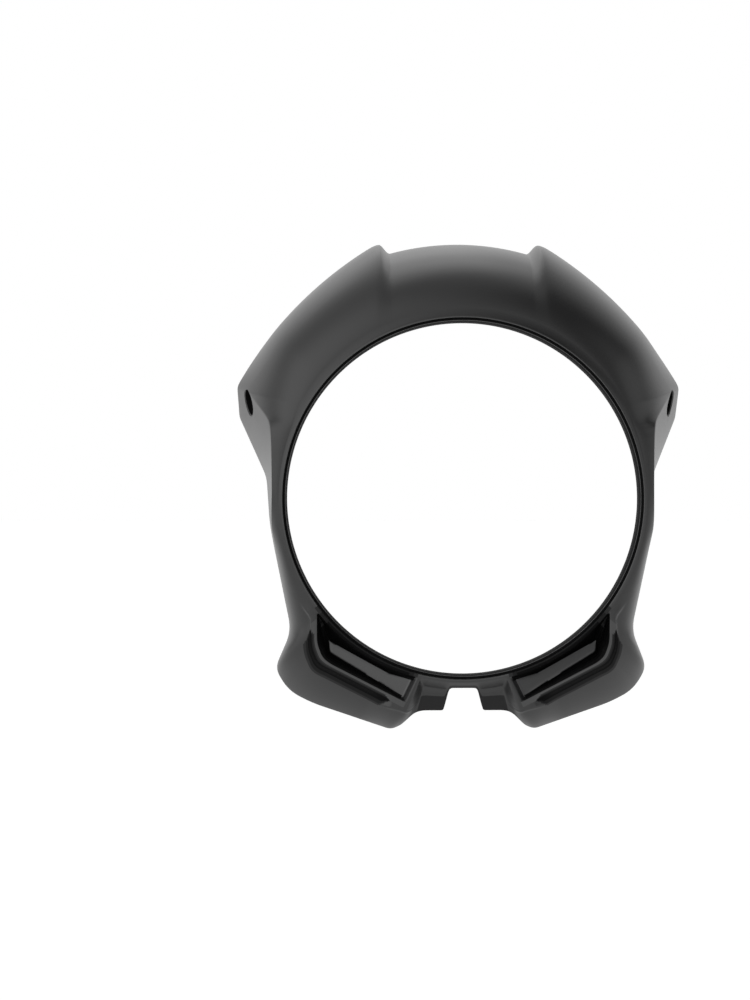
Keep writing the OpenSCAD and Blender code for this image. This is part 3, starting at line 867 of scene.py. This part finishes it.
def floor_material():
    """A plain pale floor, a little brighter to the camera and in reflections; it keeps its shadow."""
    mat, nodes, links = new_material("floor")
    out = nodes.new("ShaderNodeOutputMaterial")
    bsdf = nodes.new("ShaderNodeBsdfDiffuse")
    bsdf.inputs["Color"].default_value = (FLOOR_GREY, FLOOR_GREY, FLOOR_GREY, 1)
    glow = nodes.new("ShaderNodeEmission")
    path = nodes.new("ShaderNodeLightPath")
    lift = nodes.new("ShaderNodeMath")
    lift.operation = "MULTIPLY"
    lift.inputs[1].default_value = FLOOR_GLOW
    both = nodes.new("ShaderNodeAddShader")
    either = path.outputs["Is Camera Ray"]
    for kind in ("Is Glossy Ray", "Is Transmission Ray"):
        join = nodes.new("ShaderNodeMath")
        join.operation = "MAXIMUM"
        links.new(either, join.inputs[0])
        links.new(path.outputs[kind], join.inputs[1])
        either = join.outputs[0]
    links.new(either, lift.inputs[0])
    links.new(lift.outputs[0], glow.inputs["Strength"])
    links.new(bsdf.outputs["BSDF"], both.inputs[0])
    links.new(glow.outputs[0], both.inputs[1])
    links.new(both.outputs[0], out.inputs["Surface"])
    return mat


floor = mesh_object("floor", np.array([
    (-FLOOR_SIZE, -FLOOR_SIZE, FLOOR_Z), (FLOOR_SIZE, -FLOOR_SIZE, FLOOR_Z),
    (FLOOR_SIZE, FLOOR_SIZE, FLOOR_Z), (-FLOOR_SIZE, FLOOR_SIZE, FLOOR_Z),
]), [(0, 1, 2, 3)])
floor.data.materials.append(floor_material())

# The world is a light tent with soft patches: (direction, where it starts and is full, strength added).
# Its share behind the cowl has a strength of 1, which is white.
TENT = 0.62
PATCHES = [
    ((0, 1, 0), 0.35, 0.85, 0.38),
    ((0, 0.6, 0.8), 0.75, 0.97, 0.15),
    ((-0.75, -0.62, 0.1), 0.5, 0.95, 0.95),
    ((0.9, -0.4, 0.1), 0.72, 0.95, 0.8),
    ((0.8, -0.45, 0.4), 0.62, 0.93, -0.6),
]


def light_tent():
    world = bpy.data.worlds.new("studio")
    world.use_nodes = True
    nodes, links = world.node_tree.nodes, world.node_tree.links
    nodes.clear()
    coords = nodes.new("ShaderNodeTexCoord")
    base = nodes.new("ShaderNodeValue")
    base.outputs[0].default_value = TENT
    strength = base.outputs[0]
    for direction, start, full, gain in PATCHES:
        towards = nodes.new("ShaderNodeVectorMath")
        towards.operation = "DOT_PRODUCT"
        links.new(coords.outputs["Generated"], towards.inputs[0])
        towards.inputs[1].default_value = Vector(direction).normalized()
        patch = nodes.new("ShaderNodeMapRange")
        patch.interpolation_type = "SMOOTHSTEP"
        links.new(towards.outputs["Value"], patch.inputs["Value"])
        for key, value in (("From Min", start), ("From Max", full), ("To Min", 0), ("To Max", gain)):
            patch.inputs[key].default_value = value
        total = nodes.new("ShaderNodeMath")
        total.operation = "ADD"
        links.new(patch.outputs["Result"], total.inputs[0])
        links.new(strength, total.inputs[1])
        strength = total.outputs[0]
    light = nodes.new("ShaderNodeBackground")
    light.inputs["Color"].default_value = (1, 1, 1, 1)
    links.new(strength, light.inputs["Strength"])
    out = nodes.new("ShaderNodeOutputWorld")
    links.new(light.outputs[0], out.inputs["Surface"])
    return world


bpy.context.scene.world = light_tent()


def lamp(name, place, size, power):
    data = bpy.data.lights.new(name, "AREA")
    data.shape = "RECTANGLE"
    data.size, data.size_y = size
    data.energy = power
    obj = bpy.data.objects.new(name, data)
    bpy.context.scene.collection.objects.link(obj)
    obj.location = place
    obj.rotation_euler = (-Vector(place)).to_track_quat("-Z", "Y").to_euler()


lamp("lamp_top", (-0.3, 0.9, 1.4), (1.2, 1.2), 1.5)

bpy.context.scene.view_settings.view_transform = "Standard"
